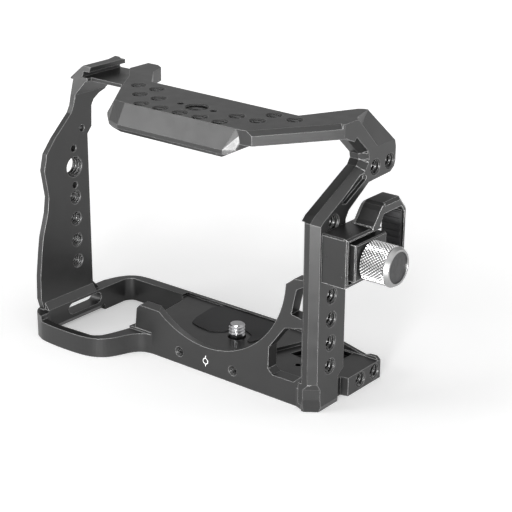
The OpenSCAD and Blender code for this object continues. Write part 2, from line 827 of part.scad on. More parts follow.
// The whole machined frame
module cage_frame() {
    color("#3c3d40")
        difference() {
            union() {
                base_body();
                front_wall();
                left_plate();
                cold_shoe();
                top_plate();
                post_and_arm();
            }
            top_holes();
            side_holes();
            fixing_holes();
            screw_pocket();
            for (s = [-1, 1])
                translate([s * front_x, -front_y + front_deep, front_hole_z])
                    rotate([90, 0, 0])
                        bore(front_r, front_deep, front_lip, false);
            translate([32.4, -3, -cut])
                cylinder(r = pin_r, h = lip_h, $fn = hole_fn);
            along_x(-left_out - cut, left_out - loop_left + 2 * cut)
                translate([-strap_y, 6.6])
                    strap_outline();
            arm_facet();
            foot_facets();
            shoulder_bevel();
            // Bevel along the upper front edge of the arm
            translate([34.6, -34.6, 0])
                rotate([0, 0, arm_turn])
                    along_x(-1.5, 34)
                        polygon([
                            [-cut, cage_h - arm_bevel - cut], [arm_bevel + cut, cage_h + cut],
                            [-cut, cage_h + cut]
                        ]);
            // Undercut along the inner wall of the loop
            along_y(-27, 28)
                polygon([
                    [-loop_left + cut, -cut], [-loop_left + cut, 2.8],
                    [-loop_left - 2.4, -cut]
                ]);
            // Bevel along the underside of the post foot
            along_y(-post_front - 1, post_front - post_back)
                polygon([
                    [right_out - 0.9, -cut], [right_out + cut, 2.8],
                    [right_out + 1, -cut]
                ]);
        }
}

// Slot with rounded ends, drawn round its middle
module strap_outline() {
    half = (strap_len - strap_h) / 2;
    square([2 * half, strap_h], center = true);
    for (s = [-1, 1])
        translate([s * half, 0])
            circle(r = strap_h / 2, $fn = hole_fn);
}

module camera_pad() {
    color("#242424")
        difference() {
            along_z(deck_h - pad_sink, pad_t)
                pad_shape();
            translate([0, 0, deck_h - pad_sink - cut])
                cylinder(r = thread_hole_r + 0.6, h = pad_t + 2 * cut, $fn = part_fn);
        }
}

module camera_screw() {
    color("#c9cacc")
        difference() {
            union() {
                translate([0, 0, head_z])
                    cylinder(r = head_r, h = head_t, $fn = part_fn);
                translate([0, 0, head_z])
                    cylinder(r = shank_r, h = thread_z - head_z + cut, $fn = part_fn);
                translate([0, 0, thread_z])
                    cylinder(r = thread_r, h = deck_h + thread_up - thread_tip - thread_z, $fn = part_fn);
                translate([0, 0, deck_h + thread_up - thread_tip])
                    cylinder(r1 = thread_r, r2 = thread_r - thread_tip, h = thread_tip, $fn = part_fn);
            }
            translate([-head_r - 1, -driver_slot / 2, head_z - cut])
                cube([2 * head_r + 2, driver_slot, driver_deep + cut]);
        }
}

module screw_washer() {
    color("#e6e3da")
        difference() {
            translate([0, 0, washer_z])
                cylinder(r = head_r - 0.6, h = washer_t, $fn = part_fn);
            translate([0, 0, washer_z - cut])
                cylinder(r = shank_r + fit_gap, h = washer_t + 2 * cut, $fn = part_fn);
        }
}

module screw_ring() {
    color("#8b8d90")
        difference() {
            translate([0, 0, ring_z])
                cylinder(r = pocket_r + 0.55, h = ring_t, $fn = part_fn);
            translate([0, 0, ring_z - cut])
                cylinder(r = pocket_r + 0.55 - ring_w, h = ring_t + 2 * cut, $fn = part_fn);
            translate([-1.6, 0, ring_z - cut])
                cube([3.2, pocket_r + 2, ring_t + 2 * cut]);
        }
}

module clamp_body() {
    color("#37383a")
        difference() {
            union() {
                along_y(-block_front, block_front + window_y)
                    polygon([
                        [right_out, block_low], [block_out - 0.4, block_low],
                        [block_out, block_low + 0.4], [block_out, block_top - 0.7],
                        [block_out - 0.7, block_top], [right_out, block_top]
                    ]);
                along_x(block_out - hook_w, hook_w)
                    polygon(hook_outline);
            }
            edge_bevels([for (i = [1 : 8]) hook_outline[i]], block_out - hook_w, -1, 1.8, 1.2);
            edge_bevels([for (i = [5 : 8]) hook_outline[i]], block_out, 1, 1, 1.1);
            // Bevel along the upper front edge
            along_x(right_out - cut, block_t - 1.6 + cut)
                polygon([
                    [-block_front - cut, block_top - 0.8], [-block_front - cut, block_top + cut],
                    [-block_front + 0.8, block_top + cut]
                ]);
            // Bevel along the front edge of the outer face
            along_z(block_low - cut, block_h + 2 * cut)
                polygon([
                    [block_out - 0.5, -block_front - cut], [block_out + cut, -block_front - cut],
                    [block_out + cut, -block_front + 0.5], [block_out, -block_front + 0.5],
                    [block_out - 0.5, -block_front]
                ]);
            along_x(block_out - hook_w - cut, hook_w + 2 * cut)
                polygon(hook_window);
            // Pocket for the jaw, neck for its rib and channel for the nut
            translate([pocket_x, pocket_front, pocket_low])
                cube([pocket_d + cut, window_y + cut - pocket_front, pocket_top - pocket_low]);
            translate([channel_x, neck_front, knob_z - rib_w / 2 - run_gap])
                cube([pocket_x - channel_x + cut, window_y + cut - neck_front, rib_w + 2 * run_gap]);
            translate([channel_x, channel_front, knob_z - nut_w / 2 - 2 * run_gap])
                cube([pocket_x - neck_t - channel_x, window_y + cut - channel_front, nut_w + 4 * run_gap]);
            to_x(right_out - cut, post_hole_y, fix_z)
                cylinder(r = fix_r, h = channel_x - right_out + 2 * cut, $fn = hole_fn);
            to_x(right_out - cut, post_hole_y, dowel_z)
                cylinder(r = dowel_r, h = dowel_in + cut, $fn = hole_fn);
        }
}

module clamp_screw() {
    color("#55575a")
        difference() {
            union() {
                to_x(post_in, post_hole_y, fix_z)
                    screw_cone(0);
                to_x(post_in + 1, post_hole_y, fix_z)
                    cylinder(r = fix_r, h = fix_end - post_in - 1, $fn = hole_fn);
            }
            to_x(post_in - cut, post_hole_y, fix_z)
                cylinder(r = 2.3, h = 2 + cut, $fn = 6);
        }
}

module clamp_pin() {
    color("#a7a9ac")
        to_x(right_out - dowel_in, post_hole_y, dowel_z)
            cylinder(r = dowel_r, h = 2 * dowel_in, $fn = hole_fn);
}

module hook_lining() {
    color("#1f1f20")
        translate([block_out - hook_w + 0.7, window_y + window_len - lining_t, pocket_low + 1])
            cube([hook_w - 1.4, lining_t, hook_top - hook_bar - 2.6 - pocket_low - 1]);
}

module clamp_jaw() {
    color("#414245")
        difference() {
            union() {
                along_y(jaw_front, jaw_len)
                    polygon([
                        [jaw_x, jaw_low], [jaw_out - 0.4, jaw_low], [jaw_out, jaw_low + 0.4],
                        [jaw_out, jaw_high - 0.4], [jaw_out - 0.4, jaw_high], [jaw_x, jaw_high]
                    ]);
                translate([jaw_x - rib_deep, rib_front, knob_z - rib_w / 2])
                    cube([rib_deep + cut, rib_back - rib_front, rib_w]);
            }
            to_x(jaw_x - rib_deep - cut, -knob_y, knob_z)
                cylinder(r = stud_r + fit_gap, h = jaw_t + rib_deep + 2 * cut, $fn = part_fn);
            along_z(jaw_low - cut, jaw_high - jaw_low + 2 * cut)
                polygon([
                    [jaw_out - 0.4, jaw_front - cut], [jaw_out + cut, jaw_front - cut],
                    [jaw_out + cut, jaw_front + 0.4], [jaw_out, jaw_front + 0.4],
                    [jaw_out - 0.4, jaw_front]
                ]);
        }
}

module jaw_lining() {
    color("#1f1f20")
        translate([jaw_x + 0.4, jaw_front + jaw_len, jaw_low + 0.8])
            cube([jaw_t - 0.9, lining_t, jaw_high - jaw_low - 1.6]);
}

module slot_nut() {
    color("#9a9ca0")
        difference() {
            translate([nut_x, -knob_y - nut_len / 2, knob_z - nut_w / 2])
                cube([nut_t, nut_len, nut_w]);
            to_x(nut_x - cut, -knob_y, knob_z)
                cylinder(r = stud_r + fit_gap, h = nut_t + 2 * cut, $fn = part_fn);
        }
}

module knob_washer() {
    color("#b9bbbe")
        difference() {
            to_x(washer_x, -knob_y, knob_z)
                cylinder(r = knob_washer_r, h = knob_washer_t, $fn = part_fn);
            to_x(washer_x - cut, -knob_y, knob_z)
                cylinder(r = stud_r + fit_gap, h = knob_washer_t + 2 * cut, $fn = part_fn);
        }
}

module clamp_knob() {
    color("#d9dadc")
        difference() {
            union() {
                to_x(knob_x, -knob_y, knob_z)
                    cylinder(r1 = knob_r - 0.5, r2 = knob_r, h = 0.5, $fn = part_fn);
                to_x(knob_x + 0.5, -knob_y, knob_z)
                    cylinder(r = knob_r, h = knob_len - 0.5 - knob_bevel, $fn = part_fn);
                to_x(knob_out - knob_bevel, -knob_y, knob_z)
                    cylinder(r1 = knob_r, r2 = knob_r - 1, h = knob_bevel, $fn = part_fn);
            }
            to_x(knob_x - cut, -knob_y, knob_z)
                cylinder(r = knob_washer_r + free_gap, h = knob_recess + cut, $fn = part_fn);
            to_x(knob_x, -knob_y, knob_z)
                cylinder(r = stud_r, h = stud_in, $fn = part_fn);
            to_x(knob_out - cap_sink - cap_t, -knob_y, knob_z)
                cylinder(r = cap_r, h = cap_sink + cap_t + cut, $fn = part_fn);
        }
}

module knob_stud() {
    color("#a7a9ac")
        to_x(stud_x, -knob_y, knob_z)
            cylinder(r = stud_r, h = knob_x + stud_in - stud_x, $fn = part_fn);
}

module knob_cap() {
    color("#4a4b4d")
        to_x(knob_out - cap_sink - cap_t, -knob_y, knob_z)
            cylinder(r = cap_r, h = cap_t, $fn = part_fn);
}

cage_frame();
camera_pad();
camera_screw();
screw_washer();
screw_ring();
clamp_body();
clamp_screw();
clamp_pin();
hook_lining();
clamp_jaw();
jaw_lining();
slot_nut();
knob_washer();
clamp_knob();
knob_stud();
knob_cap();
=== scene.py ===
"""Camera cage with a sliding plug clamp: finishes, threads, knurl and studio.

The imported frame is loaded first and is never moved. Every class below dresses
one sub-assembly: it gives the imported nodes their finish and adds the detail
that the plain solids leave out. Sizes are in millimetres until a mesh is built.
"""

import logging
import math
from dataclasses import dataclass, field
from enum import Enum

import bmesh
import bpy
from mathutils import Matrix, Vector


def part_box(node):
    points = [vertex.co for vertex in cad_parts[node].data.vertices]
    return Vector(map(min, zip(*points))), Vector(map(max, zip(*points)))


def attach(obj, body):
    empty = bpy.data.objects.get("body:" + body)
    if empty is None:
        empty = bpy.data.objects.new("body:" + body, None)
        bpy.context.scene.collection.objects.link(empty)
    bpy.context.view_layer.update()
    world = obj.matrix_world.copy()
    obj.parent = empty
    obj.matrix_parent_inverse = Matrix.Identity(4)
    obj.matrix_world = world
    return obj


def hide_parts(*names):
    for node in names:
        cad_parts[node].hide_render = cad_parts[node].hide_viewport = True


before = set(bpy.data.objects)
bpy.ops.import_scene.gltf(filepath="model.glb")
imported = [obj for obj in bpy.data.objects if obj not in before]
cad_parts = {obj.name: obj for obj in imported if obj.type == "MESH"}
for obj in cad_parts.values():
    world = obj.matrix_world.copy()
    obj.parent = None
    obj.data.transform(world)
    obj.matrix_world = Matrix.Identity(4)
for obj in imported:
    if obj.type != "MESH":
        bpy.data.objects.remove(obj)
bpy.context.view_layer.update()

MM = 0.001
MERGE_MM = 1e-3
BEVEL_SAMPLES = 6
# Cosine between rounded and flat normal on a sharp edge and on a flat, where the painted edge highlight is
# full and where it ends
EDGE_LEAN = (0.84, 0.995)
WHITE = (1.0, 1.0, 1.0, 1.0)
LOG = logging.getLogger("camera_cage")


class Axis(Enum):
    """Direction in which a lathed or threaded shape points."""

    X = "x"
    MINUS_Y = "-y"
    Z = "z"

    def turn(self) -> Matrix:
        """Gives the rotation that brings local Z onto this direction.

        Returns:
            The rotation.
        """
        angles = {
            Axis.X: (math.radians(90), "Y"),
            Axis.MINUS_Y: (math.radians(90), "X"),
            Axis.Z: (0.0, "Z"),
        }
        angle, about = angles[self]
        return Matrix.Rotation(angle, 4, about)


# ---------------------------------------------------------------- finishes


class NodeBoard:
    """An empty node tree and short calls to add and join its nodes."""

    def __init__(self, owner: bpy.types.Material | bpy.types.World, output: str) -> None:
        """Clears the owner's nodes and adds the output.

        Args:
            owner: Material or world that gets the nodes.
            output: Blender's class name of its output node.
        """
        owner.use_nodes = True
        self.tree = owner.node_tree
        self.tree.nodes.clear()
        self.output = self.tree.nodes.new(output)

    def add(self, kind: str, **sockets: object) -> bpy.types.Node:
        """Adds a node and sets its input sockets.

        Args:
            kind: Blender's class name of the node.
            sockets: Values by socket name, with spaces written as underscores.

        Returns:
            The new node.
        """
        node = self.tree.nodes.new(kind)
        for label, value in sockets.items():
            node.inputs[label.replace("_", " ")].default_value = value
        return node

    def join(self, source: bpy.types.NodeSocket, target: bpy.types.NodeSocket) -> None:
        """Links two sockets.

        Args:
            source: Output that gives the value.
            target: Input that takes it.
        """
        self.tree.links.new(source, target)

    def combine(self, kind: str, operation: str, *sources: object) -> bpy.types.Node:
        """Adds a math node.

        Args:
            kind: Blender's class name of the node.
            operation: What the node does.
            sources: Sockets or constants in the order of the node's inputs.

        Returns:
            The new node.
        """
        node = self.tree.nodes.new(kind)
        node.operation = operation
        for target, source in zip(node.inputs, sources):
            if isinstance(source, bpy.types.NodeSocket):
                self.join(source, target)
            else:
                target.default_value = source
        return node

    def clear_rays(self) -> bpy.types.NodeSocket:
        """Gives 1 for rays that show the set straight, mirrored or through glass.

        Returns:
            The socket with the value.
        """
        path = self.add("ShaderNodeLightPath")
        seen = path.outputs["Is Camera Ray"]
        for kind in ("Is Transmission Ray", "Is Glossy Ray"):
            seen = self.combine("ShaderNodeMath", "MAXIMUM", seen, path.outputs[kind]).outputs[0]
        return seen

    def noise(self, size_mm: float, detail: float = 2.0) -> bpy.types.Node:
        """Adds a noise on Object coordinates.

        Args:
            size_mm: Size of one blotch or grain.
            detail: Noise detail.

        Returns:
            The noise node.
        """
        place = self.add("ShaderNodeTexCoord")
        noise = self.add("ShaderNodeTexNoise", Scale=1 / (size_mm * MM), Detail=detail)
        self.join(place.outputs["Object"], noise.inputs["Vector"])
        return noise

    def spread(self, source: bpy.types.NodeSocket, low: float, high: float,
               start: float = 0.3, end: float = 0.7) -> bpy.types.NodeSocket:
        """Maps a value to a new range.

        Args:
            source: Socket that gives the value.
            low: Result at start.
            high: Result at end.
            start: Value that becomes low.
            end: Value that becomes high.

        Returns:
            The mapped value's socket.
        """
        node = self.add("ShaderNodeMapRange", From_Min=start, From_Max=end, To_Min=low, To_Max=high)
        self.join(source, node.inputs["Value"])
        return node.outputs["Result"]

    def blend(self, factor: bpy.types.NodeSocket, first: tuple | bpy.types.NodeSocket,
              second: tuple) -> bpy.types.NodeSocket:
        """Mixes two colours.

        Args:
            factor: Socket that gives the share of the second colour.
            first: Red, green and blue at factor 0, or a socket that gives them.
            second: Red, green and blue at factor 1.

        Returns:
            The mixed colour's socket.
        """
        node = self.tree.nodes.new("ShaderNodeMix")
        node.data_type = "RGBA"
        self.join(factor, node.inputs[0])
        if isinstance(first, tuple):
            node.inputs[6].default_value = (*first, 1.0)
        else:
            self.join(first, node.inputs[6])
        node.inputs[7].default_value = (*second, 1.0)
        return node.outputs[2]

    def soft_edges(self, radius_mm: float) -> bpy.types.Node:
        """Adds a node that rounds the shading over sharp edges.

        Args:
            radius_mm: Radius of the rounding.

        Returns:
            The bevel node.
        """
        node = self.add("ShaderNodeBevel", Radius=radius_mm * MM)
        node.samples = BEVEL_SAMPLES
        return node

    def edge_share(self, rounded: bpy.types.Node, gain: float) -> bpy.types.NodeSocket:
        """Gives how far the rounded normal leans away from the flat one.

        Args:
            rounded: The node made by soft_edges.
            gain: Share of the painted edge highlight where the edge is sharpest.

        Returns:
            A socket from 0 on a flat to gain on an edge.
        """
        flat = self.add("ShaderNodeNewGeometry")
        lean = self.combine(
            "ShaderNodeVectorMath", "DOT_PRODUCT", rounded.outputs["Normal"], flat.outputs["Normal"]
        )
        return self.spread(lean.outputs["Value"], gain, 0.0, *EDGE_LEAN)

    def bumped(self, height: bpy.types.NodeSocket, depth_mm: float, strength: float,
               under: bpy.types.NodeSocket | None = None) -> bpy.types.NodeSocket:
        """Adds a bump.

        Args:
            height: Socket that gives the relief.
            depth_mm: Depth of the relief.
            strength: Share of the bump that shows.
            under: Normal that the bump is laid on.

        Returns:
            The bumped normal's socket.
        """
        node = self.add("ShaderNodeBump", Strength=strength, Distance=depth_mm * MM)
        self.join(height, node.inputs["Height"])
        if under is not None:
            self.join(under, node.inputs["Normal"])
        return node.outputs["Normal"]


class MaterialBoard(NodeBoard):
    """The nodes of one new material."""

    def __init__(self, name: str) -> None:
        """Starts an empty node material.

        Args:
            name: Name of the material.
        """
        self.material = bpy.data.materials.new(name)
        super().__init__(self.material, "ShaderNodeOutputMaterial")

    def finish(self, shader: bpy.types.Node) -> bpy.types.Material:
        """Joins the shader to the output.

        Args:
            shader: Node that gives the surface.

        Returns:
            The finished material.
        """
        self.join(shader.outputs[0], self.output.inputs["Surface"])
        return self.material


@dataclass(frozen=True)
class AnodisedFinish:
    """Dark anodised aluminium, bead-blasted, with a painted highlight along its edges."""

    name: str
    colour: tuple[float, float, float] = (0.012, 0.012, 0.012)
    # Lighter colour of the painted edge highlight
    painted_highlight_colour: tuple[float, float, float] = (0.5, 0.5, 0.5)
    roughness: float = 0.32
    sheen_level: float = 0.5
    edge_radius: float = 0.4
    # Share of the painted edge highlight on the sharpest edges
    painted_edge_highlight: float = 0.5
    grain: float = 0.22

    def make(self) -> bpy.types.Material:
        """Builds the material."""
        board = MaterialBoard(self.name)
        shader = board.add("ShaderNodeBsdfPrincipled", Specular_IOR_Level=self.sheen_level, Metallic=0.0)
        rounded = board.soft_edges(self.edge_radius)
        cloud = board.noise(14.0, 3.0)
        darker = tuple(0.88 * c for c in self.colour)
        lighter = tuple(1.12 * c for c in self.colour)
        body = board.blend(board.spread(cloud.outputs["Fac"], 0.0, 1.0), darker, lighter)
        # Edges are mixed toward the lighter colour: a painted highlight where rounded edges would catch the
        # lamps
        painted_edge_lit = board.blend(board.edge_share(rounded, self.painted_edge_highlight), body, self.painted_highlight_colour)
        board.join(painted_edge_lit, shader.inputs["Base Color"])
        patches = board.noise(5.0, 2.0)
        board.join(
            board.spread(patches.outputs["Fac"], self.roughness - 0.03, self.roughness + 0.03),
            shader.inputs["Roughness"],
        )
        blast = board.noise(self.grain, 2.0)
        board.join(
            board.bumped(blast.outputs["Fac"], 0.02, 0.25, rounded.outputs["Normal"]),
            shader.inputs["Normal"],
        )
        return board.finish(shader)


@dataclass(frozen=True)
class SteelFinish:
    """Bare or plated metal with a fine turned or drawn grain."""

    name: str
    colour: tuple[float, float, float] = (0.62, 0.62, 0.63)
    roughness: float = 0.28
    edge_radius: float = 0.1
    grain: float = 0.12

    def make(self) -> bpy.types.Material:
        """Builds the material."""
        board = MaterialBoard(self.name)
        shader = board.add("ShaderNodeBsdfPrincipled", Metallic=1.0)
        rounded = board.soft_edges(self.edge_radius)
        cloud = board.noise(3.0, 3.0)
        darker = tuple(0.86 * c for c in self.colour)
        board.join(
            board.blend(board.spread(cloud.outputs["Fac"], 0.0, 1.0), darker, self.colour),
            shader.inputs["Base Color"],
        )
        board.join(
            board.spread(cloud.outputs["Fac"], self.roughness + 0.05, self.roughness - 0.04),
            shader.inputs["Roughness"],
        )
        grain = board.noise(self.grain, 2.0)
        board.join(
            board.bumped(grain.outputs["Fac"], 0.012, 0.2, rounded.outputs["Normal"]),
            shader.inputs["Normal"],
        )
        return board.finish(shader)


@dataclass(frozen=True)
class KnurlFinish:
    """Bright plated metal; the grooves between the diamonds are painted darker as shade."""

    name: str
    centre: tuple[float, float, float]
    groove_r: float
    crest_r: float
    colour: tuple[float, float, float] = (0.7, 0.7, 0.7)
    groove_shade_colour: tuple[float, float, float] = (0.1, 0.1, 0.1)
    roughness: float = 0.26

    def make(self) -> bpy.types.Material:
        """Builds the material."""
        board = MaterialBoard(self.name)
        shader = board.add("ShaderNodeBsdfPrincipled", Metallic=1.0)
        place = board.add("ShaderNodeTexCoord")
        centre = tuple(c * MM for c in self.centre)
        centred = board.combine("ShaderNodeVectorMath", "SUBTRACT", place.outputs["Object"], centre)
        across = board.combine("ShaderNodeVectorMath", "MULTIPLY", centred.outputs["Vector"], (0.0, 1.0, 1.0))
        reach = board.combine("ShaderNodeVectorMath", "LENGTH", across.outputs["Vector"])
        # Colour darkens from crest to groove: painted shade in the knurl's grooves
        crest = board.spread(reach.outputs["Value"], 0.0, 1.0, self.groove_r * MM, self.crest_r * MM)
        board.join(board.blend(crest, self.groove_shade_colour, self.colour), shader.inputs["Base Color"])
        cloud = board.noise(2.0, 3.0)
        board.join(
            board.spread(cloud.outputs["Fac"], self.roughness + 0.05, self.roughness - 0.05),
            shader.inputs["Roughness"],
        )
        board.join(board.bumped(cloud.outputs["Fac"], 0.02, 0.2), shader.inputs["Normal"])
        return board.finish(shader)


@dataclass(frozen=True)
class TurnedDiscFinish:
    """Grey disc turned on a lathe, with fine rings round the knob axis."""

    name: str
    centre: tuple[float, float, float]
    colour: tuple[float, float, float] = (0.014, 0.014, 0.015)
    ring_pitch: float = 0.22

    def make(self) -> bpy.types.Material:
        """Builds the material."""
        board = MaterialBoard(self.name)
        shader = board.add("ShaderNodeBsdfPrincipled", Metallic=0.0, Specular_IOR_Level=0.6)
        place = board.add("ShaderNodeTexCoord")
        centre = tuple(c * MM for c in self.centre)
        centred = board.combine("ShaderNodeVectorMath", "SUBTRACT", place.outputs["Object"], centre)
        rings = board.add("ShaderNodeTexWave", Scale=1 / (self.ring_pitch * MM * 20), Distortion=0.4)
        rings.wave_type = "RINGS"
        rings.rings_direction = "X"
        board.join(centred.outputs["Vector"], rings.inputs["Vector"])
        cloud = board.noise(1.6, 4.0)
        darker = tuple(0.6 * c for c in self.colour)
        board.join(
            board.blend(board.spread(cloud.outputs["Fac"], 0.0, 1.0), darker, self.colour),
            shader.inputs["Base Color"],
        )
        board.join(board.spread(cloud.outputs["Fac"], 0.5, 0.34), shader.inputs["Roughness"])
        board.join(board.bumped(rings.outputs["Fac"], 0.02, 0.35), shader.inputs["Normal"])
        return board.finish(shader)


@dataclass(frozen=True)
class RubberFinish:
    """Matte rubber with a fine stipple and a trace of dust."""

    name: str
    colour: tuple[float, float, float] = (0.024, 0.024, 0.025)
    dust_colour: tuple[float, float, float] = (0.05, 0.05, 0.05)
    roughness: float = 0.72
    stipple: float = 0.35

    def make(self) -> bpy.types.Material:
        """Builds the material."""
        board = MaterialBoard(self.name)
        shader = board.add("ShaderNodeBsdfPrincipled", Metallic=0.0, Specular_IOR_Level=0.35)
        cloud = board.noise(4.0, 4.0)
        dust = board.spread(cloud.outputs["Fac"], 0.0, 0.5, 0.4, 0.8)
        board.join(board.blend(dust, self.colour, self.dust_colour), shader.inputs["Base Color"])
        board.join(
            board.spread(cloud.outputs["Fac"], self.roughness - 0.06, self.roughness + 0.06),
            shader.inputs["Roughness"],
        )
        stipple = board.noise(self.stipple, 1.0)
        board.join(board.bumped(stipple.outputs["Fac"], 0.05, 0.5), shader.inputs["Normal"])
        return board.finish(shader)


@dataclass(frozen=True)
class PlasticFinish:
    """Moulded plastic or filled-in paint with a faint uneven gloss."""

    name: str
    colour: tuple[float, float, float]
    roughness: float = 0.45

    def make(self) -> bpy.types.Material:
        """Builds the material."""
        board = MaterialBoard(self.name)
        shader = board.add("ShaderNodeBsdfPrincipled", Metallic=0.0)
        cloud = board.noise(1.2, 3.0)
        darker = tuple(0.9 * c for c in self.colour)
        board.join(
            board.blend(board.spread(cloud.outputs["Fac"], 0.0, 1.0), darker, self.colour),
            shader.inputs["Base Color"],
        )
        board.join(
            board.spread(cloud.outputs["Fac"], self.roughness - 0.05, self.roughness + 0.05),
            shader.inputs["Roughness"],
        )
        board.join(board.bumped(cloud.outputs["Fac"], 0.02, 0.2), shader.inputs["Normal"])
        return board.finish(shader)


# ---------------------------------------------------------------- mesh helpers


def to_piece(bm: bmesh.types.BMesh, name: str, materials: list[bpy.types.Material],
             smooth_angle: float = 35.0) -> bpy.types.Object:
    """Turns a mesh in millimetres into a finished object in metres.

    Args:
        bm: The mesh, which is freed.
        name: Name of the piece.
        materials: Materials in the order of the faces' indices.
        smooth_angle: Edges sharper than this many degrees stay sharp.

    Returns:
        The new object at the origin.
    """
    bmesh.ops.remove_doubles(bm, verts=bm.verts, dist=MERGE_MM)
    bmesh.ops.recalc_face_normals(bm, faces=bm.faces)
    bmesh.ops.scale(bm, vec=(MM, MM, MM), verts=bm.verts)
    for face in bm.faces:
        face.smooth = True
    for edge in bm.edges:
        if len(edge.link_faces) == 2:
            edge.smooth = edge.calc_face_angle(0.0) < math.radians(smooth_angle)
    mesh = bpy.data.meshes.new(name)
    bm.to_mesh(mesh)
    bm.free()
    for material in materials:
        mesh.materials.append(material)
    piece = bpy.data.objects.new(name, mesh)
    bpy.context.scene.collection.objects.link(piece)
    return piece


def lathe(bm: bmesh.types.BMesh, outline: list[tuple[float, float]], steps: int) -> list[bmesh.types.BMVert]:
    """Turns an outline of (radius, height) pairs round Z into a closed body.

    Args:
        bm: Mesh that receives the body.
        outline: Corners of the half section.
        steps: Facets round the axis.

    Returns:
        The new vertices.
    """
    before = set(bm.verts)
    corners = [bm.verts.new((r, 0.0, z)) for r, z in outline]
    loop = list(zip(corners, corners[1:])) + ([] if outline[0][0] == 0 else [(corners[-1], corners[0])])
    edges = [bm.edges.new(pair) for pair in loop]
    bmesh.ops.spin(
        bm, geom=corners + edges, cent=(0, 0, 0), axis=(0, 0, 1), dvec=(0, 0, 0),
        angle=2 * math.pi, steps=steps, use_merge=True,
    )
    made = [v for v in bm.verts if v not in before]
    bmesh.ops.remove_doubles(bm, verts=made, dist=MERGE_MM)
    return [v for v in bm.verts if v not in before]


def rounded_box(bm: bmesh.types.BMesh, low: Vector, high: Vector, radius: float) -> None:
    """Adds a box with rounded edges.

    Args:
        bm: Mesh that receives the box.
        low: Lowest corner.
        high: Highest corner.
        radius: Radius of the edges.
    """
    place = Matrix.Translation((low + high) / 2) @ Matrix.Diagonal((*(high - low), 1.0))
    made = bmesh.ops.create_cube(bm, size=1.0, matrix=place)["verts"]
    edges = list({e for v in made for e in v.link_edges})
    bmesh.ops.bevel(
        bm, geom=edges, offset=radius, offset_type="OFFSET", affect="EDGES",
        segments=2, profile=0.5, material=-1,
    )


@dataclass(frozen=True)
class ThreadSize:
    """Form of a screw thread."""

    pitch: float
    depth: float
    steps: int = 20
    sink: float = 0.05
    foot_share: float = 0.44
    crest_share: float = 0.08

    def ridge(self, bm: bmesh.types.BMesh, radius: float, start: float, length: float,
              inward: bool) -> list[bmesh.types.BMVert]:
        """Winds one closed helical ridge round Z.

        Args:
            bm: Mesh that receives the ridge.
            radius: Wall that the ridge stands on.
            start: Height at which it begins.
            length: Height that it covers.
            inward: True in a hole, false on a screw.

        Returns:
            The new vertices.
        """
        before = set(bm.verts)
        side = -1.0 if inward else 1.0
        foot, crest = radius - side * self.sink, radius + side * self.depth
        half, flat = self.foot_share * self.pitch, self.crest_share * self.pitch
        corners = [
            bm.verts.new((r, 0.0, start + half + dz))
            for r, dz in ((foot, -half), (crest, -flat), (crest, flat), (foot, half))
        ]
        face = bm.faces.new(corners)
        turns = (length - 2 * half) / self.pitch
        count = max(1, round(turns * self.steps))
        bmesh.ops.spin(
            bm, geom=[face, *face.edges, *corners], cent=(0, 0, 0), axis=(0, 0, 1),
            dvec=(0, 0, self.pitch / self.steps), angle=2 * math.pi * count / self.steps,
            steps=count, use_merge=False,
        )
        return [v for v in bm.verts if v not in before]


QUARTER_INCH = ThreadSize(pitch=1.27, depth=0.52)
THREE_EIGHTHS = ThreadSize(pitch=1.5875, depth=0.66, steps=28)
OUTER_QUARTER = ThreadSize(pitch=1.27, depth=0.5, steps=48)
SMALL_METRIC = ThreadSize(pitch=0.5, depth=0.2, steps=14)


@dataclass(frozen=True)
class TappedHole:
    """One threaded hole: the point on its axis where the thread starts."""

    start: tuple[float, float, float]
    radius: float
    length: float
    thread: ThreadSize

    def cut(self, bm: bmesh.types.BMesh, axis: Axis) -> None:
        """Adds this hole's thread to a mesh.

        Args:
            bm: Mesh that receives the thread.
            axis: Direction of the hole.
        """
        made = self.thread.ridge(bm, self.radius, 0.0, self.length, inward=True)
        place = Matrix.Translation(Vector(self.start)) @ axis.turn()
        bmesh.ops.transform(bm, matrix=place, verts=made)


# ---------------------------------------------------------------- finishes used

FRAME_BLACK = AnodisedFinish("frame_black")
# Clamp and jaw: a strong painted highlight on their edges
CLAMP_BLACK = AnodisedFinish(
    "clamp_black", colour=(0.01, 0.01, 0.01), painted_highlight_colour=(0.8, 0.8, 0.8), roughness=0.3,
    edge_radius=0.3, painted_edge_highlight=0.8
)
JAW_BLACK = AnodisedFinish(
    "jaw_black", colour=(0.01, 0.01, 0.01), painted_highlight_colour=(0.8, 0.8, 0.8), roughness=0.3,
    edge_radius=0.3, painted_edge_highlight=0.9
)
BOLT_DARK = AnodisedFinish("bolt_dark", colour=(0.06, 0.06, 0.06), roughness=0.32, edge_radius=0.1)
# Darker than the frame as painted shade in the holes; its light edge colour is a painted glint on the thread
# crests
THREAD_BLACK = AnodisedFinish(
    "thread_black", colour=(0.008, 0.008, 0.008), painted_highlight_colour=(0.7, 0.7, 0.7), roughness=0.22,
    sheen_level=0.6, edge_radius=0.15, painted_edge_highlight=0.9
)
# Darker than the frame as painted shade in the small front holes, with a faint painted edge highlight
DULL_BLACK = AnodisedFinish(
    "dull_black", colour=(0.008, 0.008, 0.008), roughness=0.5, sheen_level=0.3,
    edge_radius=0.1, painted_edge_highlight=0.1
)
KNOB_RIM = SteelFinish("knob_rim", colour=(0.36, 0.36, 0.36), roughness=0.36)
SCREW_STEEL = SteelFinish("screw_steel", colour=(0.5, 0.5, 0.51), roughness=0.3)
PLAIN_STEEL = SteelFinish("plain_steel", colour=(0.45, 0.46, 0.47), roughness=0.36)
PAD_RUBBER = RubberFinish("pad_rubber")
LINING_RUBBER = RubberFinish("lining_rubber", colour=(0.016, 0.016, 0.017), stipple=0.25)
WASHER_NYLON = PlasticFinish("washer_nylon", colour=(0.75, 0.73, 0.68))
MARK_PAINT = PlasticFinish("mark_paint", colour=(0.62, 0.62, 0.62), roughness=0.5)


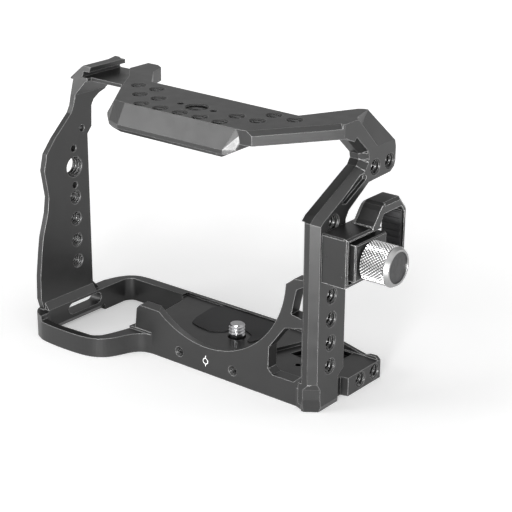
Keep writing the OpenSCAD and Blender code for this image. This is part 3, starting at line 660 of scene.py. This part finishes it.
def dress(node: str, material: bpy.types.Material) -> None:
    """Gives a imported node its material.

    Args:
        node: Name of the node.
        material: Material for all of it.
    """
    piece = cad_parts[node]
    if not piece.material_slots:
        piece.data.materials.append(material)
    for slot in piece.material_slots:
        slot.material = material
    LOG.info("%s: material %s", node, material.name)


def add_to(piece: bpy.types.Object, body: str) -> bpy.types.Object:
    """Lets a new piece ride on a body.

    Args:
        piece: The new piece.
        body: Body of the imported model.

    Returns:
        The same piece.
    """
    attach(piece, body)
    LOG.info("%s: %d faces on %s", piece.name, len(piece.data.polygons), body)
    return piece


# ---------------------------------------------------------------- sub-assemblies


@dataclass
class CageBody:
    """The machined frame with its threads and its lens mark."""

    pitch: float = 9.2
    small_r: float = 2.65
    large_r: float = 4.1
    chamfer: float = 0.5
    thread_inset: float = 0.2
    top_z: float = 101.2
    top_t: float = 5.3
    rows_y: tuple[float, float, float] = (-32.0, -22.8, -13.6)
    left_x: float = -80.6
    left_t: float = 5.6
    left_y: float = -11.6
    left_low_z: float = 25.42
    left_large_z: float = 65.9
    post_x: float = 46.5
    post_t: float = 7.2
    post_y: float = -12.4
    post_low_z: float = 16.9
    post_top_z: float = 72.1
    arm_y: float = 12.3
    arm_z: float = 86.4
    rail_y: float = 7.5
    rail_z: float = 3.9
    rail_deep: float = 9.0
    front_y: float = -19.0
    front_x: float = 13.4
    front_z: float = 5.1
    front_r: float = 1.25
    front_start: float = 6.0
    front_deep: float = 5.1
    mark_ring: float = 1.15
    mark_line: float = 0.36
    mark_reach: float = 2.25
    cut_metal: bpy.types.Material = field(init=False)

    def small(self, x: float, y: float, z: float, length: float) -> TappedHole:
        """Describes a quarter-inch hole.

        Args:
            x: Start of the thread along X.
            y: Start along Y.
            z: Start along Z.
            length: Length of the thread.

        Returns:
            The hole.
        """
        return TappedHole((x, y, z), self.small_r, length, QUARTER_INCH)

    def top_threads(self) -> None:
        """Threads of the holes in the top plate."""
        front, mid, back = self.rows_y
        z, length = self.top_z + self.chamfer, self.top_t - 2 * self.chamfer
        places = [(i, front) for i in range(-2, 3)]
        places += [(s * i, mid) for s in (-1, 1) for i in (2, 3)]
        places += [(s * i, back) for s in (-1, 1) for i in (3, 4)]
        holes = [self.small(i * self.pitch, y, z, length) for i, y in places]
        holes.append(TappedHole((0.0, mid, z), self.large_r, length, THREE_EIGHTHS))
        self.threads("top_threads", holes, Axis.Z)

    def left_threads(self) -> None:
        """Threads of the holes in the left side plate."""
        x, length = self.left_x + self.thread_inset, self.left_t - 2 * self.thread_inset
        holes = [self.small(x, self.left_y, self.left_low_z + i * self.pitch, length) for i in range(4)]
        holes.append(TappedHole((x, self.left_y, self.left_large_z), self.large_r, length, THREE_EIGHTHS))
        self.threads("left_threads", holes, Axis.X)

    def right_threads(self) -> None:
        """Threads of the holes in the post, the arm and the rail."""
        x, length = self.post_x + self.chamfer, self.post_t - 2 * self.chamfer
        holes = [
            self.small(x, self.post_y, z, length)
            for z in (*(self.post_low_z + i * self.pitch for i in range(4)), self.post_top_z)
        ]
        holes += [self.small(x, self.arm_y + i * self.pitch, self.arm_z, length) for i in range(2)]
        edge = self.post_x + self.post_t
        holes += [
            self.small(edge - self.rail_deep + 1, self.rail_y + i * self.pitch, self.rail_z,
                       self.rail_deep - 1 - self.chamfer)
            for i in range(2)
        ]
        self.threads("right_threads", holes, Axis.X)

    def front_threads(self) -> None:
        """Threads of the two small holes in the front face."""
        holes = [
            TappedHole(
                (s * self.front_x, self.front_y + self.front_start, self.front_z),
                self.front_r, self.front_deep, SMALL_METRIC,
            )
            for s in (-1, 1)
        ]
        self.threads("front_threads", holes, Axis.MINUS_Y, DULL_BLACK.make())

    def threads(self, name: str, holes: list[TappedHole], axis: Axis,
                metal: bpy.types.Material | None = None) -> None:
        """Builds one piece from several threads.

        Args:
            name: Name of the piece.
            holes: The holes that it fills.
            axis: Direction of all of them.
            metal: Material, if it isn't the usual one of the threads.
        """
        bm = bmesh.new()
        for hole in holes:
            hole.cut(bm, axis)
        add_to(to_piece(bm, name, [metal or self.cut_metal], 50.0), "cage")

    def lens_mark(self) -> None:
        """Painted ring with two ticks that shows the lens axis."""
        bm = bmesh.new()
        inner = self.mark_ring - self.mark_line / 2
        outer = self.mark_ring + self.mark_line / 2
        made = lathe(bm, [(inner, -0.1), (outer, -0.1), (outer, 0.04), (inner, 0.04)], 40)
        turn = Matrix.Translation((0.0, self.front_y, self.front_z)) @ Axis.MINUS_Y.turn()
        bmesh.ops.transform(bm, matrix=turn, verts=made)
        for s in (-1, 1):
            ends = sorted((s * (outer - 0.05), s * self.mark_reach))
            rounded_box(
                bm,
                Vector((-self.mark_line / 2, self.front_y - 0.04, self.front_z + ends[0])),
                Vector((self.mark_line / 2, self.front_y + 0.1, self.front_z + ends[1])),
                0.03,
            )
        add_to(to_piece(bm, "lens_mark", [MARK_PAINT.make()]), "cage")

    def build(self) -> None:
        """Dresses the frame and adds its detail."""
        dress("cage_frame", FRAME_BLACK.make())
        self.cut_metal = THREAD_BLACK.make()
        dress("camera_pad", PAD_RUBBER.make())
        self.top_threads()
        self.left_threads()
        self.right_threads()
        self.front_threads()
        self.lens_mark()


@dataclass
class CameraScrew:
    """Captive camera screw with its washer and ring."""

    head_z: float = 3.9
    head_t: float = 2.0
    head_r: float = 7.1
    shank_r: float = 2.6
    thread_r: float = 3.175
    thread_z: float = 9.2
    tip_z: float = 14.6
    slot_w: float = 1.6
    slot_deep: float = 1.1
    thread_deep: float = 0.5

    def body(self) -> bmesh.types.BMesh:
        """Lathes the head, the shank and the core of the thread."""
        core = self.thread_r - self.thread_deep
        top = self.head_z + self.head_t
        bm = bmesh.new()
        lathe(bm, [
            (0.0, self.head_z), (self.head_r - 0.3, self.head_z), (self.head_r, self.head_z + 0.3),
            (self.head_r, top - 0.2), (self.head_r - 0.2, top), (self.shank_r, top),
            (self.shank_r, self.thread_z - 0.2), (core, self.thread_z), (core, self.tip_z - 0.7),
            (core - 0.15, self.tip_z - 0.12), (core - 0.45, self.tip_z), (0.0, self.tip_z),
        ], 64)
        return bm

    def build(self) -> None:
        """Builds the screw and dresses the small pieces."""
        steel = SCREW_STEEL.make()
        blank = to_piece(self.body(), "screw_blank", [steel])
        slot = bmesh.new()
        reach = Matrix.Diagonal((2 * self.head_r + 2, self.slot_w, 2 * self.slot_deep, 1))
        bmesh.ops.create_cube(slot, size=1.0, matrix=Matrix.Translation((0, 0, self.head_z)) @ reach)
        cutter = to_piece(slot, "screw_slot", [steel])
        cut = blank.modifiers.new("slot", "BOOLEAN")
        cut.operation, cut.object, cut.solver = "DIFFERENCE", cutter, "EXACT"
        graph = bpy.context.evaluated_depsgraph_get()
        bm = bmesh.new()
        bm.from_mesh(bpy.data.meshes.new_from_object(blank.evaluated_get(graph)))
        bmesh.ops.scale(bm, vec=(1 / MM,) * 3, verts=bm.verts)
        OUTER_QUARTER.ridge(
            bm, self.thread_r - self.thread_deep, self.thread_z + 0.05, self.tip_z - self.thread_z - 0.2,
            inward=False,
        )
        for spent in (blank, cutter):
            bpy.data.objects.remove(spent)
        screw = to_piece(bm, "camera_screw_threaded", [steel], 30.0)
        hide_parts("camera_screw")
        add_to(screw, "screw")
        dress("screw_washer", WASHER_NYLON.make())
        dress("screw_ring", PLAIN_STEEL.make())


@dataclass
class PlugClamp:
    """Clamp block, jaw, linings and their screws."""

    rib_height: float = 0.35
    rib_count: int = 7

    def ribbed(self, name: str, node: str, body: str, face: int, material: bpy.types.Material) -> None:
        """Replaces a rubber lining with a ribbed one.

        Args:
            name: Name of the new piece.
            node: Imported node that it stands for.
            body: Body that carries it.
            face: Side of the ribs along Y, -1 or 1.
            material: Its rubber.
        """
        low, high = (Vector(corner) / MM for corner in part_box(node))
        bm = bmesh.new()
        base_low, base_high = low.copy(), high.copy()
        if face > 0:
            base_high.y -= self.rib_height
        else:
            base_low.y += self.rib_height
        rounded_box(bm, base_low, base_high, 0.12)
        step = (high.z - low.z) / self.rib_count
        for i in range(self.rib_count):
            middle = low.z + (i + 0.5) * step
            rounded_box(
                bm,
                Vector((low.x + 0.25, low.y + (0.1 if face > 0 else 0.0), middle - 0.3 * step)),
                Vector((high.x - 0.25, high.y - (0.0 if face > 0 else 0.1), middle + 0.3 * step)),
                0.14,
            )
        piece = to_piece(bm, name, [material], 60.0)
        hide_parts(node)
        add_to(piece, body)

    def build(self) -> None:
        """Dresses the clamp and adds the ribbed linings."""
        dress("clamp_body", CLAMP_BLACK.make())
        dress("clamp_jaw", JAW_BLACK.make())
        dress("clamp_screw", BOLT_DARK.make())
        steel = bpy.data.materials["plain_steel"]
        for node in ("clamp_pin", "slot_nut", "knob_washer", "knob_stud"):
            dress(node, steel)
        rubber = LINING_RUBBER.make()
        self.ribbed("hook_lining_ribbed", "hook_lining", "cage", -1, rubber)
        self.ribbed("jaw_lining_ribbed", "jaw_lining", "jaw", 1, rubber)


@dataclass
class KnurledKnob:
    """Cross-knurled knob with a polished rim and a dark cap."""

    radius: float = 7.4
    bevel: float = 1.6
    rim_r: float = 6.4
    cap_r: float = 5.7
    cap_seat: float = 1.3
    recess_r: float = 4.75
    recess_deep: float = 0.75
    bore_r: float = 2.0
    bore_deep: float = 7.0
    teeth: int = 38
    row: float = 0.36
    knurl_deep: float = 0.46
    knurl_start: float = 0.55
    knurl_end: float = 0.45
    crest_gain: float = 1.45
    # Depth shares at which the painted groove shade is full and where it fades out
    groove_shade_share: float = 0.95
    shade_fade_share: float = 0.35
    reach_error: float = 0.02
    row_error: float = 0.01

    def wave(self, value: float) -> float:
        """Gives a triangle wave from 0 at whole numbers to 1 between them.

        Args:
            value: Place along the wave.

        Returns:
            The height there.
        """
        return 1.0 - abs(2.0 * (value % 1.0) - 1.0)

    def outline(self, knurl: list[tuple[float, float]], length: float,
                end: float) -> list[tuple[float, float]]:
        """Gives the half section of the knob.

        Args:
            knurl: Corners along the knurled wall.
            length: Length of the knob.
            end: Height at which the knurl stops.

        Returns:
            Its (radius, height) corners.
        """
        back, groove, cap = self.radius - 0.7, self.radius - 0.5, self.cap_r
        return [
            (0.0, self.bore_deep), (self.bore_r, self.bore_deep), (self.bore_r, self.recess_deep),
            (self.recess_r, self.recess_deep), (self.recess_r, 0.0), (back, 0.0), (groove, 0.3),
            *knurl,
            (groove, end + 0.12), (groove, end + 0.3), (self.radius - 0.12, end + 0.45),
            (self.radius - 0.03, length - self.bevel + 0.1), (self.rim_r + 0.1, length - 0.08),
            (self.rim_r - 0.05, length), (cap + 0.12, length), (cap, length - 0.12),
            (cap, length - self.cap_seat), (0.0, length - self.cap_seat),
        ]

    def cut_knurl(self, bm: bmesh.types.BMesh, first: float, last: float) -> None:
        """Presses the crossed grooves into the wall.

        Args:
            bm: Mesh of the knob with its axis on Z.
            first: Height of the knurl's first row.
            last: Height of its last row.
        """
        bottom, top = first - self.row_error, last + self.row_error
        wall = [f for f in bm.faces if all(
            abs(math.hypot(v.co.x, v.co.y) - self.radius) < self.row_error and bottom <= v.co.z <= top
            for v in f.verts
        )]
        bmesh.ops.poke(bm, faces=wall)
        for vert in bm.verts:
            reach = math.hypot(vert.co.x, vert.co.y)
            if abs(reach - self.radius) > self.reach_error or not bottom <= vert.co.z <= top:
                continue
            around = math.atan2(vert.co.y, vert.co.x) * self.teeth / (2 * math.pi)
            along = (vert.co.z - first) / (4 * self.row)
            tooth = min(1.0, self.crest_gain * min(self.wave(around + along), self.wave(around - along)))
            scale = (self.radius - self.knurl_deep * (1.0 - tooth)) / reach
            vert.co.x *= scale
            vert.co.y *= scale

    def build(self) -> None:
        """Builds the knob in place of the plain one."""
        low, high = (Vector(corner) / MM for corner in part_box("clamp_knob"))
        length = high.x - low.x
        start, end = self.knurl_start, length - self.bevel - self.knurl_end
        rows = int((end - start) / self.row)
        knurl = [(self.radius, start + i * self.row) for i in range(rows + 1)]
        bm = bmesh.new()
        lathe(bm, self.outline(knurl, length, end), 4 * self.teeth)
        self.cut_knurl(bm, knurl[0][1], knurl[-1][1])
        for face in bm.faces:
            face.material_index = 1 if face.calc_center_median().z > end + 0.2 else 0
        centre = Vector((low.x, (low.y + high.y) / 2, (low.z + high.z) / 2))
        place = Matrix.Translation(centre) @ Axis.X.turn()
        bmesh.ops.transform(bm, matrix=place, verts=bm.verts)
        # The knob's colour takes painted shade in its knurl grooves
        silver = KnurlFinish(
            "knob_silver", centre=tuple(centre),
            groove_r=self.radius - self.groove_shade_share * self.knurl_deep,
            crest_r=self.radius - self.shade_fade_share * self.knurl_deep,
        )
        knob = to_piece(bm, "knurled_knob", [silver.make(), KNOB_RIM.make()], 24.0)
        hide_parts("clamp_knob")
        add_to(knob, "knob")
        dress("knob_cap", TurnedDiscFinish("cap_grey", centre=tuple(centre)).make())


# ---------------------------------------------------------------- studio


@dataclass(frozen=True)
class SoftLamp:
    """A square soft lamp aimed at the cage.

    The direction points from the cage to the lamp. Distance and side are in
    metres and the power is in watts.
    """

    name: str
    toward: tuple[float, float, float]
    distance: float
    size: float
    power: float
    aim: tuple[float, float, float] = (-0.01, -0.01, 0.05)

    def place(self) -> None:
        """Adds the lamp to the scene."""
        light = bpy.data.lights.new(self.name, "AREA")
        light.shape, light.size, light.energy = "SQUARE", self.size, self.power
        lamp = bpy.data.objects.new(self.name, light)
        way = Vector(self.toward).normalized()
        lamp.location = Vector(self.aim) + way * self.distance
        lamp.rotation_mode = "QUATERNION"
        lamp.rotation_quaternion = (-way).to_track_quat("-Z", "Y")
        bpy.context.scene.collection.objects.link(lamp)


LAMPS = (
    SoftLamp("hood_glow", (-0.58, -0.72, 0.37), distance=0.9, size=0.45, power=2.9),
    SoftLamp("overhead", (0.05, -0.15, 1.0), distance=1.0, size=1.0, power=2.8),
    SoftLamp("front_strip", (0.42, -0.88, 0.0), distance=0.8, size=0.16, power=13.0),
    SoftLamp("right_low", (0.86, -0.36, 0.0), distance=0.8, size=0.16, power=3.0),
    SoftLamp("right_fill", (0.75, 0.6, 0.3), distance=1.0, size=0.4, power=0.8),
)


@dataclass
class Studio:
    """Pale floor, soft lamps and the camera."""

    eye: tuple[float, float, float] = (329.81, -403.34, 245.81)
    azimuth: float = 38.65
    elevation: float = 21.07
    roll: float = 0.34
    focal_px: float = 1458.6
    frame_px: float = 512.0
    principal: tuple[float, float] = (251.9, 250.1)
    sensor: float = 36.0
    sky_level: float = 0.25
    flag_side: tuple[float, float, float] = (-0.5, 0.79, 0.36)
    flag_level: float = 0.5
    flag_start: float = 0.3
    flag_end: float = 0.9
    # Floor glow rises from near_glow close to the cage to far_glow beyond far_edge: painted shade round the
    # cage
    near_glow: float = 0.34
    far_glow: float = 0.72
    near_edge: float = 0.1
    far_edge: float = 0.34
    floor_mm: float = 6000.0
    floor_z: float = -0.00002
    floor_colour: tuple[float, float, float, float] = (0.9, 0.9, 0.9, 1.0)

    def camera(self) -> None:
        """Places the camera at the photograph's viewpoint."""
        az, el, roll = (math.radians(a) for a in (self.azimuth, self.elevation, self.roll))
        back = Vector((math.sin(az) * math.cos(el), -math.cos(az) * math.cos(el), math.sin(el)))
        level = Vector((math.cos(az), math.sin(az), 0.0))
        upright = back.cross(level)
        right = level * math.cos(roll) + upright * math.sin(roll)
        up = upright * math.cos(roll) - level * math.sin(roll)
        lens = bpy.data.cameras.new("photo_camera")
        lens.sensor_width = self.sensor
        lens.lens = self.focal_px / self.frame_px * self.sensor
        half = self.frame_px / 2
        lens.shift_x = (half - self.principal[0]) / self.frame_px
        lens.shift_y = (self.principal[1] - half) / self.frame_px
        lens.clip_start, lens.clip_end = 0.01, 20.0
        camera = bpy.data.objects.new("photo_camera", lens)
        turn = Matrix((right, up, back)).transposed().to_4x4()
        camera.matrix_world = Matrix.Translation(Vector(self.eye) * MM) @ turn
        bpy.context.scene.collection.objects.link(camera)
        bpy.context.scene.camera = camera

    def floor(self) -> None:
        """Adds the white floor that keeps the soft shadow; its glow is painted dimmer near the cage, as shade
        round it.
        """
        bm = bmesh.new()
        bmesh.ops.create_grid(bm, x_segments=4, y_segments=4, size=self.floor_mm)
        board = MaterialBoard("floor_white")
        paint = board.add("ShaderNodeBsdfDiffuse", Color=self.floor_colour)
        glow = board.add("ShaderNodeEmission", Color=WHITE)
        place = board.add("ShaderNodeTexCoord")
        reach = board.combine("ShaderNodeVectorMath", "LENGTH", place.outputs["Object"])
        # Glow dimmer near the cage: painted shade on the floor
        glow_dimmed_near_cage = board.spread(
            reach.outputs["Value"], self.near_glow, self.far_glow, self.near_edge, self.far_edge
        )
        level = board.combine("ShaderNodeMath", "MULTIPLY", glow_dimmed_near_cage, board.clear_rays())
        board.join(level.outputs[0], glow.inputs["Strength"])
        both = board.add("ShaderNodeAddShader")
        board.join(paint.outputs[0], both.inputs[0])
        board.join(glow.outputs[0], both.inputs[1])
        floor = to_piece(bm, "studio_floor", [board.finish(both)])
        floor.location = (0.0, 0.0, self.floor_z)

    def world(self) -> None:
        """White surroundings, dimmer where they light the object.

        In mirrored rays the side behind the cage is flagged, which darkens
        the faces that look up.
        """
        world = bpy.data.worlds.new("studio_world")
        bpy.context.scene.world = world
        board = NodeBoard(world, "ShaderNodeOutputWorld")
        level = board.spread(board.clear_rays(), self.sky_level, 1.0, 0.0, 1.0)
        place = board.add("ShaderNodeTexCoord")
        lean = board.combine(
            "ShaderNodeVectorMath", "DOT_PRODUCT", place.outputs["Generated"], self.flag_side
        )
        flag = board.spread(lean.outputs["Value"], 1.0, self.flag_level, self.flag_start, self.flag_end)
        path = board.add("ShaderNodeLightPath")
        mirrored = board.add("ShaderNodeMapRange", To_Min=1.0)
        board.join(flag, mirrored.inputs["To Max"])
        board.join(path.outputs["Is Glossy Ray"], mirrored.inputs["Value"])
        total = board.combine("ShaderNodeMath", "MULTIPLY", level, mirrored.outputs["Result"])
        sky = board.add("ShaderNodeBackground", Color=WHITE)
        board.join(total.outputs[0], sky.inputs["Strength"])
        board.join(sky.outputs[0], board.output.inputs["Surface"])

    def build(self) -> None:
        """Builds the whole set."""
        bpy.context.scene.view_settings.view_transform = "Standard"
        self.camera()
        self.world()
        self.floor()
        for lamp in LAMPS:
            lamp.place()


def main() -> None:
    """Builds the studio and dresses every sub-assembly."""
    logging.basicConfig(level=logging.INFO, format="%(name)s %(message)s")
    Studio().build()
    for assembly in (CageBody(), CameraScrew(), PlugClamp(), KnurledKnob()):
        assembly.build()


if __name__ == "__main__":
    main()
